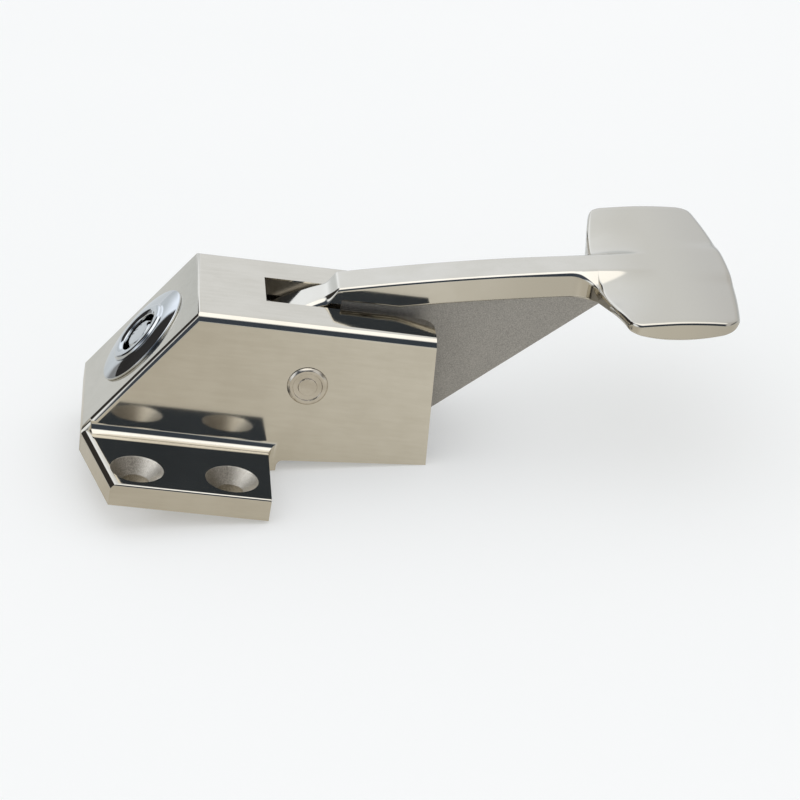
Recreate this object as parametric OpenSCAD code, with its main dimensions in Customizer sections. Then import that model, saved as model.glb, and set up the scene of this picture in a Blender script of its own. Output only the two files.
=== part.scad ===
// Door latch with a sprung lever and a tubular key lock.
// The mounting face is z = 0 and the origin is halfway between the two screws.
// +X runs towards the finger paddle and +Z points away from the door. All sizes are in millimetres.
// The modules draw about the latch's middle plane, and placed() carries it beside the screws.

/* [Housing] */
// Width over the two side walls
body_w = 33.5; // [30:0.5:42]
// Height of the roof above the mounting face
body_h = 35; // [33:0.5:44]
// Distance from the middle of the screws to the foot of the sloped face
foot_back = 22; // [20:0.5:26]
// Length of door that the sloped face covers
slope_run = 21.5; // [19:0.5:24]
// Length of the roof behind the ridge
roof_l = 50.8; // [46:0.2:60]
// Thickness of the walls and the roof
wall_t = 4; // [3:0.1:5]
// Radius on the long edges of the roof
roof_edge_r = 2.2; // [0.6:0.1:3]
// Radius on the side edges of the sloped face
slope_edge_r = 1.5; // [0.6:0.1:3]
// Radius on the ridge and at the foot of the sloped face
ridge_r = 1.3; // [0.6:0.1:3]
// Radius inside the casting, where the roof meets the walls
cast_r = 1.5; // [0.5:0.1:3]
// How far the open end leans out at its lower corner
end_lean = 2.4; // [0:0.1:5]
// Gap under the side walls beside the flange
skirt_near = 2.5; // [1:0.1:4]
// Radius where that gap begins
skirt_r = 1.5; // [0.5:0.1:2]
// Gap under the side walls at the open end
skirt_end = 5.2; // [3:0.1:8]
// Width of the slot in the roof
slot_w = 12.3; // [12:0.1:16]
// Distance from the ridge to the front of the slot
slot_back = 14.5; // [13:0.1:15]
// Radius that opens the slot at the end of the roof
slot_flare = 3.5; // [1:0.1:5]

/* [Flange] */
// Thickness of the screw flange
flange_t = 5; // [4:0.1:7]
// Distance from the latch's middle plane to the flange's outer edge
flange_out = 39.5; // [36:0.5:50]
// Length of the flange along its outer edge
flange_l = 33.6; // [30:0.2:40]
// How far the front edge of the flange slants back
flange_sweep = 6.6; // [2:0.2:9]
// Radius between the flange and its side wall
fillet_r = 2.2; // [1:0.1:5]
// Radius on the upper outer edge of the flange
flange_edge_r = 0.5; // [0.3:0.1:2]
// Radius on the slanted front edge of the flange
sweep_edge_r = 1.8; // [0.5:0.1:3]
// Distance between the two screws
screw_pitch = 20; // [18:0.5:24]
// Distance from the latch's middle plane to the screws
screw_out = 32; // [30:0.5:40]
// Diameter of a screw hole
screw_hole_d = 5.6; // [4.4:0.1:6.6]
// Diameter of a countersink at the surface
screw_head_d = 11.3; // [9:0.1:13]

/* [Pivot] */
// Distance of the pivot behind the middle of the screws
pivot_x = 24.4; // [24:0.1:28]
// Depth of the pivot below the top of the roof
pivot_drop = 13.9; // [13:0.1:14.2]
// Diameter of the pivot pin
pin_d = 8.7; // [6:0.1:10.5]
// Height of the pin's ends above the side walls
pin_proud = 0.8; // [0.5:0.1:3]
// Chamfer round the pin's ends
pin_chamfer = 0.5; // [0.2:0.1:1]
// Diameter of the turned button in the pin's ends
pin_button_d = 4; // [2:0.1:5]
// Wall of the spacer bushes
bush_t = 0.9; // [0.5:0.1:1.2]
// Diameter of the return spring's wire
spring_wire = 1.6; // [1:0.1:1.8]
// Number of whole turns in a return spring, on top of the half turn between its legs
spring_turns = 2; // [1:1:2]

/* [Lever] */
// Width of the lever's hub
lever_w = 11.4; // [9:0.1:11.6]
// Radius of the hub's inner core
core_r = 10.3; // [8.5:0.1:10.4]
// Angle that the lever opens by
swing = 35; // [34:1:40]
// Distance from the pivot to the crease where the arm begins
crease_out = 4.8; // [3:0.1:6]
// Height of the crease above the roof
crease_up = 4.1; // [3:0.1:6]
// Slope of the bevel that climbs to the crease
bevel_angle = 52; // [40:1:65]
// Height of the bevel
bevel_rise = 2.55; // [1:0.05:3.5]
// Slope of the heel at the foot of the bevel
heel_angle = 24; // [15:1:35]
// Extra fall of the heel away from the bevel, in millimetres per square millimetre
heel_sag = 0.0075; // [0:0.0005:0.02]
// Half width of the heel
heel_half_w = 5.6; // [4:0.1:5.8]
// Radius on the heel's edges
heel_round = 2; // [0.8:0.1:3]
// Slope of the arm at the crease
arm_angle = 13.8; // [8:0.1:18]
// Fall of the arm's top from a straight line, in millimetres per square millimetre
arm_sag = 0.00077; // [0:0.00001:0.002]
// Half width of the arm
arm_half_w = 4.85; // [4:0.05:5.8]
// Depth of the arm's sides
arm_t = 6.1; // [4:0.1:8]
// Gap between the arm and the roof
arm_gap = 1.2; // [0.5:0.1:3]
// Thickness of the web under the arm
web_t = 8; // [6:0.1:9]
// Slope of the web's free edge
web_angle = 42.5; // [38:0.5:48]
// Distance from the pivot to the web's free edge
web_reach = 25.8; // [24:0.1:28]
// Radius of the hook's inner face about the pivot
hook_r = 19.5; // [18:0.1:20]
// Thickness of the hook's lip
lip_t = 2.2; // [1.5:0.1:2.6]

/* [Paddle] */
// Distance from the pivot to the middle of the paddle
paddle_out = 74.15; // [65:0.5:90]
// Length of the paddle along the arm
paddle_chord = 28.7; // [22:0.1:36]
// Width of the paddle across the arm
paddle_span = 63; // [50:0.5:76]
// Thickness in the middle of the paddle
paddle_t = 4.3; // [3:0.1:6]
// Thickness at the paddle's front and back edges
paddle_edge_t = 1.4; // [0.8:0.1:2]
// How far the front edge curves away from its middle
bow_front = 3.3; // [0:0.1:6]
// How far the back edge curves away from its middle
bow_back = 2.8; // [0:0.1:6]
// How far the front of the wings lies below the arm's top
wing_low = 1.5; // [0.5:0.1:3]
// Radius of the paddle's corners
corner_r = 4.2; // [2:0.1:8]
// Radius where the arm widens into the paddle
neck_r = 6; // [2:0.1:8]

/* [Lock] */
// Height of the lock on the sloped face, as a share of the slope's length
lock_share = 0.52; // [0.48:0.01:0.56]
// Diameter of the lock's head
head_d = 24.5; // [22:0.1:28]
// Height of the head's rim
head_t = 0.8; // [0.6:0.1:2]
// Diameter of the raised ring on the head
ring_d = 14.8; // [13:0.1:17]
// Height of the raised ring above the sloped face
ring_t = 1.5; // [1.2:0.1:3]
// Diameter of the lock's barrel
barrel_d = 19; // [18:0.1:20]
// Distance across the barrel's two flats
barrel_flat = 16.5; // [15:0.1:18]
// Length of the barrel behind the sloped face
barrel_l = 19.3; // [18:0.1:20]
// Outer diameter of the ring-shaped keyway
keyway_d = 9.8; // [9:0.1:11]
// Diameter of the spindle's centre post
post_d = 7.4; // [6:0.1:7.6]
// Depth of the keyway below the sloped face
keyway_l = 6; // [4:0.1:8]
// Diameter of the pin blocks' bore
block_d = 13; // [12.6:0.1:14]
// Length of the front pin block
front_block_l = 3.9; // [3:0.1:5]
// Number of tumbler pins
pin_count = 7; // [4:1:8]
// Diameter of a tumbler pin
tumbler_d = 1.1; // [0.8:0.05:1.2]
// Thickness of the lock's cam
cam_t = 2; // [1.5:0.1:2.5]
// Width of the lock's cam
cam_w = 8; // [6:0.5:9]
// Ledge of the lock's nut beyond the barrel, at the middle of its flats
lock_nut_ledge = 1.2; // [0.8:0.1:1.4]

/* [Clearances] */
// Radial clearance of parts that turn on each other
run_clear = 0.05; // [0.02:0.01:0.1]
// Radial clearance of parts that are fixed together
seat_clear = 0.04; // [0.02:0.01:0.1]
// End clearance along the pivot
side_clear = 0.1; // [0.05:0.05:0.3]
// Gap at the lever's rest stop
stop_clear = 0.3; // [0.2:0.05:0.6]

/* [Hidden] */
$fn = 96;
steel = [0.74, 0.72, 0.67];
cast_steel = [0.62, 0.61, 0.59];
chrome = [0.85, 0.87, 0.9];
brass = [0.8, 0.68, 0.38];
spring_steel = [0.5, 0.5, 0.52];

// Housing, worked out from the driving sizes
ridge_x = slope_run - foot_back;
roof_x = ridge_x + roof_l;
slope_angle = atan2(body_h - flange_t, slope_run);
slope_l = norm([body_h - flange_t, slope_run]);
flange_x0 = flange_sweep - foot_back;
flange_x1 = flange_x0 + flange_l;
cavity_w = body_w - 2 * wall_t;
roof_under = body_h - wall_t;
slot_x = ridge_x + slot_back;
pivot_z = body_h - pivot_drop;
wall_inset = wall_t / 2;
fillet_dip = 0.01;
past = 1;

// Lever, worked out from the pivot
hub_r = pivot_drop;
crease_x = pivot_x + crease_out;
bevel_x = crease_x - bevel_rise / tan(bevel_angle);
heel_x = slot_x + 0.3;
heel_under = pivot_z + core_r / 2;
paddle_x = pivot_x + paddle_out;
notch_from = -36;
stop_l = 4.8;
stop_t = 3.2;
rim_round = 0.8;
wing_start = 9;
shoulder_from = arm_half_w - 0.5;
shoulder_w = 1.7;
neck_start = paddle_x - paddle_chord / 2 - neck_r;
lug_r = spring_wire;
lug_out = 11;

// Lock, worked out along its axis, with depth counted inwards from the sloped face
head_edge = 0.6;
cam_front = barrel_l + 0.7;
square_from = barrel_l + 0.3;
cam_back = cam_front + cam_t;
square_w = 5.4;
shaft_d = 6;
tail_d = 5;
washer_t = 0.8;
cam_nut_t = 3;
cam_nut_af = 8.5;
tail_l = cam_back + washer_t + cam_nut_t + 0.6;
cam_boss_r = 5;
lock_nut_af = barrel_d + 2 * lock_nut_ledge;
shear = keyway_l + front_block_l;
pin_ring_r = (keyway_d + post_d) / 4;
pin_stand = 1.5;
driver_l = 2.4;
pin_spring_l = 4.4;
coil_wire = 0.2;
dowel_d = 1.5;
dowel_depth = shear + 6.5;

// Position of the pivot as seen from the lock: distance up the slope, and depth below it
lock_up = lock_share * slope_l;
lock_x = lock_up * cos(slope_angle) - foot_back;
lock_z = lock_up * sin(slope_angle) + flange_t;
pivot_up = (pivot_x - lock_x) * cos(slope_angle) + (pivot_z - lock_z) * sin(slope_angle);
pivot_deep = (pivot_x - lock_x) * sin(slope_angle) - (pivot_z - lock_z) * cos(slope_angle);

// The cam reaches as far as it can turn inside the walls and clear of the lever's core
cam_gap = 0.6;
core_room = sqrt(pow(core_r + cam_gap, 2) - pow(pivot_deep - cam_back, 2));
wall_room = sqrt(pow(cavity_w / 2 - cam_gap, 2) - pow(cam_w / 2, 2));
cam_reach = min(wall_room, pivot_up - core_room);

// The cam's round end stays short of the tooth's flank, so that a locked lever keeps a little play
cam_tip_r = cam_reach - 0.85;

// The lock tooth stops just above the locked cam and passes below it only when the cam is turned away
tooth_r = min(hub_r, norm([pivot_deep - barrel_l, pivot_up - barrel_d / 2]) - cam_gap);
lock_play = 3;
tooth_low = turned([cam_front - pivot_deep, cam_reach - pivot_up]) - lock_play;
tooth_high = turned([cam_back - pivot_deep, -sqrt(pow(tooth_r, 2) - pow(cam_back - pivot_deep, 2))])
    - swing + lock_play - 1;

// Angle of a lock-side vector, in degrees from +X towards +Z, as a number between 0 and 360
function turned(v) = (atan2(v[1], v[0]) + slope_angle - 90 + 720) % 360;
function polar(r, a) = [r * cos(a), r * sin(a)];
function unit(v) = v / norm(v);
function smooth(t) = let (u = min(max(t, 0), 1)) u * u * (3 - 2 * u);

// Height of the lever's top line above the mounting face: the heel, the bevel, then a parabola to the paddle
function crest(x) =
    let (d = x - crease_x, h = bevel_x - x)
    body_h + crease_up + (
        d > 0 ? d * tan(arm_angle) - arm_sag * d * d
        : h < 0 ? d * tan(bevel_angle)
        : -bevel_rise - h * tan(heel_angle) - heel_sag * h * h
    );

// Share of the paddle's wing at a distance from the middle: none along the arm, all further out
function wing(y) = 1 - exp(-pow(abs(y) / wing_start, 6));

// Share of the fall beside the arm: none on its flat top, then a crease and a hollow curve down to the wing
function shoulder(y) = 1 - exp(-max(abs(y) - shoulder_from, 0) / shoulder_w);

// Thickness of the lens-shaped wings at chord position c, from -1 at the front to 1 at the back
function wing_t(c) = paddle_edge_t + (paddle_t - paddle_edge_t) * (1 - c * c);
function spine_t(c) = c > 0 ? wing_t(c) : paddle_t + (arm_t - paddle_t) * smooth(-c);

// Fall of the wings below the lever's top line, towards the paddle's front and back edges
function front_fall(c) = wing_low * pow(max(-c - 0.35, 0) / 0.65, 1.5);
function back_fall(c) = c > 0 ? 0.6 * c * c : 0;

// Underside of the arm: inside the hub at the heel, then kept clear of the roof
function arm_under(x) =
    x < crease_x + 1 ? heel_under : max(crest(x) - arm_t, body_h + arm_gap);

// Points across one side of a station, from the rim to just short of the middle
function half_row(h, e) =
    let (inner = h - e, a = min(shoulder_from, 0.9 * inner))
    concat(
        [h, h - 0.1 * e, h - 0.4 * e, inner],
        [for (f = [0.7, 0.42, 0.24, 0.12, 0.05, 0]) a + f * (inner - a)],
        [a / 2]
    );
function full_row(h, e) =
    let (r = half_row(h, e), n = len(r))
    concat([for (y = r) -y], [0], [for (i = [n - 1:-1:0]) r[i]]);
function rim_drop(y, h, e) = let (q = max(abs(y) - (h - e), 0)) e - sqrt(max(e * e - q * q, 0));

// A station is [x in the middle, half width, edge radius, chord position, bow towards the ends]
heel_stations = [
    for (f = [0, 0.05, 0.2, 0.4, 0.6, 0.8, 0.93, 1])
        let (x = heel_x + f * (bevel_x - heel_x))
        [x, heel_half_w - (heel_half_w - arm_half_w) * smooth(2 * f - 1), heel_round, -1, 0]
];
bevel_stations = [
    for (f = [0.2, 0.5, 0.85, 1.15])
        let (x = bevel_x + f * (crease_x - bevel_x))
        [x, arm_half_w, heel_round + (rim_round - heel_round) * min(f, 1), -1, 0]
];
arm_stations = [for (d = [2, 5, 10, 16, 23, 30, 37, 44]) [crease_x + d, arm_half_w, rim_round, -1, 0]];
neck_stations = [
    for (q = [0, 0.25, 0.5, 0.7, 0.85, 0.95, 1])
        let (h = arm_half_w + neck_r * (1 - sqrt(1 - q * q)))
        [neck_start + q * neck_r, h, rim_round * (1 - 0.4 * q), -1, 0]
];
corner_c = 2 * corner_r / paddle_chord;
paddle_c = concat(
    [for (q = [1, 0.92, 0.7, 0.4, 0]) corner_c * (1 - q) - 1],
    [for (k = [-3:3]) k / 4 * (1 - corner_c)],
    [for (q = [0, 0.4, 0.7, 0.92, 1]) 1 - corner_c * (1 - q)]
);
paddle_stations = [
    for (c = paddle_c)
        let (q = max((abs(c) - 1 + corner_c) / corner_c, 0))
        [
            paddle_x + c * paddle_chord / 2,
            paddle_span / 2 - corner_r * (1 - sqrt(1 - min(q * q, 1))),
            min(rim_round, 0.35 * wing_t(c)),
            c,
            c < 0 ? -c * bow_front : -c * bow_back
        ]
];
lever_stations = concat(heel_stations, bevel_stations, arm_stations, neck_stations, paddle_stations);

// The shoulder grows along the last stretch of the arm
function shoulder_share(x) = smooth((x - neck_start + 15) / 20);

// The upper and lower row of points of one station
function station_points(s) =
    let (
        h = s[1],
        e = s[2],
        c = s[3],
        row = full_row(h, e),
        on_arm = s[0] < neck_start + 0.1
    )
    concat(
        [
            for (y = row)
                let (x = bowed(s, y), fall = front_fall(c) * shoulder(y) * shoulder_share(x))
                [x, y, crest(x) - fall - back_fall(c) * wing(y) - rim_drop(y, h, e)]
        ],
        [
            for (y = row)
                let (
                    x = bowed(s, y),
                    t = wing(y) * wing_t(c) + (1 - wing(y)) * spine_t(c),
                    fall = (front_fall(c) + back_fall(c)) * wing(y)
                )
                [x, y, (on_arm ? arm_under(x) : crest(x) - fall - t) + rim_drop(y, h, min(e, rim_round))]
        ]
    );
function bowed(s, y) = s[0] + s[4] * pow(2 * y / paddle_span, 2);
function two_triangles(a, b, c, d) = [[a, b, c], [a, c, d]];

// The lever's top: one skin carried from the heel in the slot, along the arm, to the paddle's back edge
module arm_and_paddle() {
    rows = [for (s = lever_stations) station_points(s)];
    m = len(rows[0]) / 2;
    last = len(rows) - 1;
    points = [for (r = rows) each r];
    sides = [
        for (i = [0:last - 1])
            let (a = 2 * m * i, b = a + 2 * m)
            each concat(
                [for (j = [0:m - 2]) each two_triangles(a + j, a + j + 1, b + j + 1, b + j)],
                [for (j = [0:m - 2]) each two_triangles(a + m + j, b + m + j, b + m + j + 1, a + m + j + 1)],
                two_triangles(a, b, b + m, a + m),
                two_triangles(a + m - 1, a + 2 * m - 1, b + 2 * m - 1, b + m - 1)
            )
    ];
    end = 2 * m * last;
    caps = [
        for (j = [0:m - 2])
            each concat(
                two_triangles(j + 1, j, j + m, j + m + 1),
                two_triangles(end + j, end + j + 1, end + j + m + 1, end + j + m)
            )
    ];
    polyhedron(points, concat(sides, caps));
}

// A round wire along a path, with its rings turned to face a reference axis
module wire(path, r, axis, sides = 8) {
    last = len(path) - 1;
    points = [
        for (i = [0:last])
            let (
                t = unit(path[min(i + 1, last)] - path[max(i - 1, 0)]),
                a = unit(cross(axis, t)),
                b = cross(t, a)
            )
            for (k = [0:sides - 1]) path[i] + r * (cos(360 * k / sides) * a + sin(360 * k / sides) * b)
    ];
    skin = [
        for (i = [0:last - 1], k = [0:sides - 1])
            let (n = (k + 1) % sides)
            each two_triangles(i * sides + k, (i + 1) * sides + k, (i + 1) * sides + n, i * sides + n)
    ];
    caps = [
        for (k = [1:sides - 2])
            each [[0, k, k + 1], [last * sides, last * sides + k + 1, last * sides + k]]
    ];
    polyhedron(points, concat(skin, caps));
}

// Carries a drawing of x and z across the latch, centred on its middle plane
module across(w) {
    rotate([90, 0, 0]) linear_extrude(w, center = true) children();
}

// Carries a drawing of y and z along the latch
module along(l) {
    rotate([90, 0, 90]) linear_extrude(l) children();
}

// Carries the latch beside the screws
module placed() {
    translate([0, screw_out, 0]) children();
}

// Turns the sloped face's frame: x up the slope, z out of it
module at_slope(up) {
    translate([up * cos(slope_angle) - foot_back, 0, up * sin(slope_angle) + flange_t])
        rotate([0, -slope_angle, 0]) children();
}

// Hangs a piece in the lock, with z counted inwards
module in_lock() {
    at_slope(lock_up) mirror([0, 0, 1]) children();
}

module at_pivot() {
    translate([pivot_x, 0, pivot_z]) children();
}

// A rectangle hung below y = 0, with its two upper corners rounded
module rounded_top(w, d, r) {
    difference() {
        translate([-w / 2, -d]) square([w, d]);
        for (s = [-1, 1])
            difference() {
                translate([s * (w / 2 + past) - (s > 0 ? r + past : 0), -r]) square([r + past, r + past]);
                translate([s * (w / 2 - r), -r]) circle(r);
            }
    }
}

// A wedge that opens between two angles
module wedge(from, to, r) {
    steps = ceil((to - from) / 60);
    polygon(concat([[0, 0]], [for (i = [0:steps]) polar(r, from + i * (to - from) / steps)]));
}

module side_outline() {
    skirt_x = flange_x1 + fillet_r;
    rise = atan2(skirt_end - skirt_near, roof_x + end_lean - skirt_x);
    half = (90 + rise) / 2;
    middle = [skirt_x, skirt_near] + polar(skirt_r / sin(half), half - 90);
    difference() {
        polygon(concat(
            [
                [-foot_back, 0],
                [-foot_back, flange_t],
                [ridge_x, body_h],
                [roof_x, body_h],
                [roof_x + end_lean, skirt_end]
            ],
            [for (k = [0:6]) middle + polar(skirt_r, 90 + rise + k / 6 * (90 - rise))],
            [[skirt_x, 0]]
        ));
        translate([ridge_x, body_h]) corner_cut(180 + slope_angle, 360, ridge_r);
        translate([-foot_back, flange_t]) corner_cut(-90, slope_angle, ridge_r);
    }
}

// What rounding takes off a corner at the origin, whose two edges leave it in the directions from and to
module corner_cut(from, to, r) {
    half = (to - from) / 2;
    middle = polar(r / sin(half), from + half);
    touch = r / tan(half);
    difference() {
        polygon([polar(touch, from), middle, polar(touch, to), polar(-touch, from + half)]);
        translate(middle) circle(r);
    }
}

module cavity_outline() {
    front = -foot_back + wall_t;
    lean = wall_t / sin(slope_angle);
    far = roof_x + 2 * end_lean + past;
    polygon([
        [front, -past],
        [front, flange_t + (wall_t - lean) * tan(slope_angle)],
        [(roof_under - flange_t) / tan(slope_angle) - foot_back + lean, roof_under],
        [far, roof_under],
        [far, -past]
    ]);
}

module slot_outline() {
    translate([slot_x, -slot_w / 2]) square([roof_l, slot_w]);
    for (s = [-1, 1])
        difference() {
            translate([roof_x - slot_flare, s > 0 ? slot_w / 2 - past : -slot_w / 2 - slot_flare])
                square([slot_flare + past, slot_flare + past]);
            translate([roof_x - slot_flare, s * (slot_w / 2 + slot_flare)]) circle(slot_flare);
        }
}

module flange_plan() {
    inner = body_w / 2 - wall_inset;
    polygon([
        [-foot_back, inner],
        [-foot_back, body_w / 2],
        [flange_x0, flange_out],
        [flange_x1, flange_out],
        [flange_x1, inner]
    ]);
    difference() {
        translate([flange_x1 - past, inner]) square([fillet_r + past, fillet_r + wall_inset]);
        translate([flange_x1 + fillet_r, body_w / 2 + fillet_r - fillet_dip]) circle(fillet_r);
    }
}

module flange_profile() {
    inner = body_w / 2 - wall_inset;
    difference() {
        union() {
            translate([inner, 0]) square([flange_out - inner, flange_t]);
            translate([inner, 0]) square([fillet_r + wall_inset, flange_t + fillet_r]);
        }
        translate([body_w / 2 + fillet_r - fillet_dip, flange_t + fillet_r]) circle(fillet_r);
        translate([flange_out, flange_t]) edge_cut(flange_edge_r, past);
    }
}

// What rounding takes off a square corner at the origin, whose edges run back along -x and -y
module edge_cut(r, above) {
    difference() {
        translate([-r, -r]) square([r + past, r + above]);
        translate([-r, -r]) circle(r);
    }
}

module flange() {
    slant = [foot_back + flange_x0, flange_out - body_w / 2];
    difference() {
        intersection() {
            linear_extrude(flange_t + fillet_r) flange_plan();
            translate([-foot_back - past, 0, 0]) along(foot_back + flange_x1 + 2 * fillet_r) flange_profile();
        }
        translate([-foot_back, body_w / 2, flange_t]) rotate(atan2(slant[1], slant[0]))
            translate([-past, 0, 0]) along(norm(slant) + 2 * past) edge_cut(sweep_edge_r, fillet_r + past);
    }
}

module screw_hole() {
    sink = (screw_head_d - screw_hole_d) / 2;
    translate([0, 0, -past]) cylinder(d = screw_hole_d, h = flange_t + 2 * past);
    translate([0, 0, flange_t - sink]) cylinder(d1 = screw_hole_d, d2 = screw_head_d, h = sink);
    translate([0, 0, flange_t]) cylinder(d = screw_head_d, h = past);
}

// The barrel's outline: a circle with two flats
module barrel_outline(clear) {
    intersection() {
        circle(d = barrel_d + 2 * clear);
        square([2 * barrel_d, barrel_flat + 2 * clear], center = true);
    }
}

module housing() {
    long = roof_l + foot_back + slope_run + 2 * end_lean;
    color(steel) difference() {
        intersection() {
            across(2 * flange_out + 2 * past) side_outline();
            union() {
                intersection() {
                    translate([-foot_back - past, 0, body_h])
                        along(long) rounded_top(body_w, body_h + past, roof_edge_r);
                    at_slope(-2 * flange_t) along(2 * long) rounded_top(body_w, 2 * long, slope_edge_r);
                }
                mirror([0, 1, 0]) flange();
            }
        }
        intersection() {
            across(cavity_w) cavity_outline();
            translate([-foot_back, 0, roof_under])
                along(2 * long) rounded_top(cavity_w, 2 * body_h, min(cast_r, cavity_w / 2 - coil_end()));
        }
        translate([0, 0, roof_under - past]) linear_extrude(wall_t + 2 * past) slot_outline();
        in_lock() translate([0, 0, -past]) linear_extrude(2 * wall_t) barrel_outline(seat_clear);
        at_pivot() rotate([90, 0, 0])
            cylinder(d = pin_d + 2 * seat_clear, h = body_w + 2 * past, center = true);
        for (sx = [-1, 1])
            translate([sx * screw_pitch / 2, -screw_out, 0]) screw_hole();
    }
}

// The web in the pivot's own frame: free edge, hook and notch, cut about the pivot
module web_outline() {
    edge_in = web_reach * [sin(web_angle), -cos(web_angle)];
    edge_dir = [cos(web_angle), sin(web_angle)];
    lip = polar(hook_r, -68);
    low = lip[1] - lip_t;
    foot = edge_in + edge_dir * (low - edge_in[1]) / edge_dir[1];
    top_x = paddle_x - paddle_chord / 2 + 3;
    top_in = crest(top_x) - arm_t - pivot_z;
    top = edge_in + edge_dir * (top_in - edge_in[1]) / edge_dir[1];
    notch_mid = (hook_r + core_r) / 2;
    difference() {
        polygon(concat(
            [foot, top],
            [
                for (k = [0:6])
                    let (x = crease_x + 3 + (top_x - crease_x - 3) * (1 - k / 6))
                    [x - pivot_x, crest(x) - arm_t / 3 - pivot_z]
            ],
            [[0, hub_r / 2], [0, -core_r / 2], [lip[0] - 0.4, lip[1]], [lip[0] + 1.2, low]]
        ));
        intersection() {
            circle(hook_r);
            wedge(-150, notch_from, 2 * hook_r);
        }
        translate(polar(notch_mid, notch_from)) circle((hook_r - core_r) / 2);
    }
}

module lever() {
    color(cast_steel) difference() {
        union() {
            arm_and_paddle();
            at_pivot() {
                across(lever_w) circle(core_r);
                across(web_t) {
                    web_outline();
                    translate([-hub_r + 0.7, pivot_drop - wall_t - stop_clear - stop_t])
                        square([stop_l, stop_t]);
                    intersection() {
                        circle(tooth_r);
                        wedge(tooth_high, tooth_low, 2 * hub_r);
                    }
                }
                translate(lug_at()) rotate([90, 0, 0]) cylinder(r = lug_r, h = lug_w(), center = true);
            }
        }
        at_pivot() rotate([90, 0, 0]) cylinder(d = pin_d + 2 * run_clear, h = 2 * lever_w, center = true);
    }
}

// The return spring: a leg under the roof, turns round the bush, and a leg on the lever's lug
function coil_r() = pin_d / 2 + run_clear + bush_t + 0.5 + spring_wire / 2;
function coil_pitch() = spring_wire + 0.05;
function leg_y() = lever_w / 2 + side_clear + 0.3 + spring_wire / 2;
function coil_end() = leg_y() + coil_pitch() * (spring_turns + 0.5);
function leg_start() = polar(coil_r(), -60);
function lug_at() =
    let (p = leg_start() + polar(lug_out, 30) + polar(spring_wire / 2 + lug_r + seat_clear, -60))
    [p[0], 0, p[1]];
function lug_w() = 2 * (leg_y() + spring_wire / 2 + 0.4);

module return_spring() {
    arc = 180 + 360 * spring_turns;
    far_y = coil_end();
    shelf = pivot_drop - wall_t - spring_wire / 2 - seat_clear;
    start = polar(coil_r(), 120);
    rise = polar((shelf - start[1]) / sin(30), 30);
    knee = start + rise;
    path = concat(
        [for (d = [9, 4, 1.2]) [knee[0] + d, far_y, shelf]],
        [[knee[0] + 0.2, far_y, shelf - 0.12]],
        [for (f = [0.8, 0.4, 0.1]) [start[0] + f * rise[0], far_y, start[1] + f * rise[1]]],
        [
            for (a = [0:18:arc])
                let (p = polar(coil_r(), 120 + a))
                [p[0], far_y - coil_pitch() * a / 360, p[1]]
        ],
        [
            for (d = [1, 0.5 * lug_out, lug_out, lug_out + 3])
                let (p = leg_start() + polar(d, 30))
                [p[0], leg_y(), p[1]]
        ]
    );
    color(spring_steel) at_pivot() wire(path, spring_wire / 2, [0, 1, 0]);
}

module spring_near() {
    mirror([0, 1, 0]) return_spring();
}

module spring_far() {
    return_spring();
}

module bush() {
    inner = lever_w / 2 + side_clear;
    length = cavity_w / 2 - inner - side_clear;
    color(brass) at_pivot() translate([0, inner, 0]) rotate([-90, 0, 0]) difference() {
        cylinder(r = pin_d / 2 + run_clear + bush_t, h = length);
        translate([0, 0, -past]) cylinder(r = pin_d / 2 + run_clear, h = length + 2 * past);
    }
}

module bush_near() {
    mirror([0, 1, 0]) bush();
}

module bush_far() {
    bush();
}

// The pin, with a chamfered rim and a turned button standing in a shallow recess at each end
module pivot_pin() {
    half = body_w / 2 + pin_proud;
    r = pin_d / 2;
    recess = 0.3;
    ring = r - pin_chamfer - 0.7;
    button_r = pin_button_d / 2;
    color(steel) at_pivot() rotate([90, 0, 0]) rotate_extrude()
        polygon([
            [0, -half],
            [button_r, -half],
            [button_r, recess - half],
            [ring, recess - half],
            [ring, -half],
            [r - pin_chamfer, -half],
            [r, pin_chamfer - half],
            [r, half - pin_chamfer],
            [r - pin_chamfer, half],
            [ring, half],
            [ring, half - recess],
            [button_r, half - recess],
            [button_r, half],
            [0, half]
        ]);
}

module dowel_hole() {
    translate([0, 0, dowel_depth]) rotate([0, 90, 0]) cylinder(d = dowel_d + 2 * seat_clear, h = barrel_d);
}

// Head with a rounded rim, a shallow dish and a raised ring, on a barrel with two flats
module lock_shell() {
    color(chrome) in_lock() difference() {
        union() {
            rotate_extrude() polygon([
                [0, 0],
                [head_d / 2, 0],
                [head_d / 2, -head_t + head_edge],
                [head_d / 2 - head_edge, -head_t],
                [ring_d / 2 + 1.2, -head_t + 0.15],
                [ring_d / 2, -head_t],
                [ring_d / 2 - 0.3, -ring_t + 0.3],
                [ring_d / 2 - 0.8, -ring_t],
                [0, -ring_t]
            ]);
            linear_extrude(barrel_l) barrel_outline(0);
        }
        translate([0, 0, -ring_t - past]) cylinder(d = keyway_d, h = ring_t + keyway_l + 2 * past);
        translate([0, 0, keyway_l]) cylinder(d = block_d, h = barrel_l);
        dowel_hole();
        translate([keyway_d / 2 - 0.4, -0.8, -ring_t - past]) cube([1.3, 1.6, past + 1.1]);
    }
}

module lock_nut() {
    color(chrome) in_lock() translate([0, 0, wall_t + seat_clear]) difference() {
        intersection() {
            cylinder(d = lock_nut_af / cos(30), h = wall_t, $fn = 6);
            cylinder(d1 = lock_nut_af, d2 = lock_nut_af + 2 * wall_t, h = wall_t);
        }
        translate([0, 0, -past]) cylinder(d = barrel_d + 2 * seat_clear, h = wall_t + 2 * past);
    }
}

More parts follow.
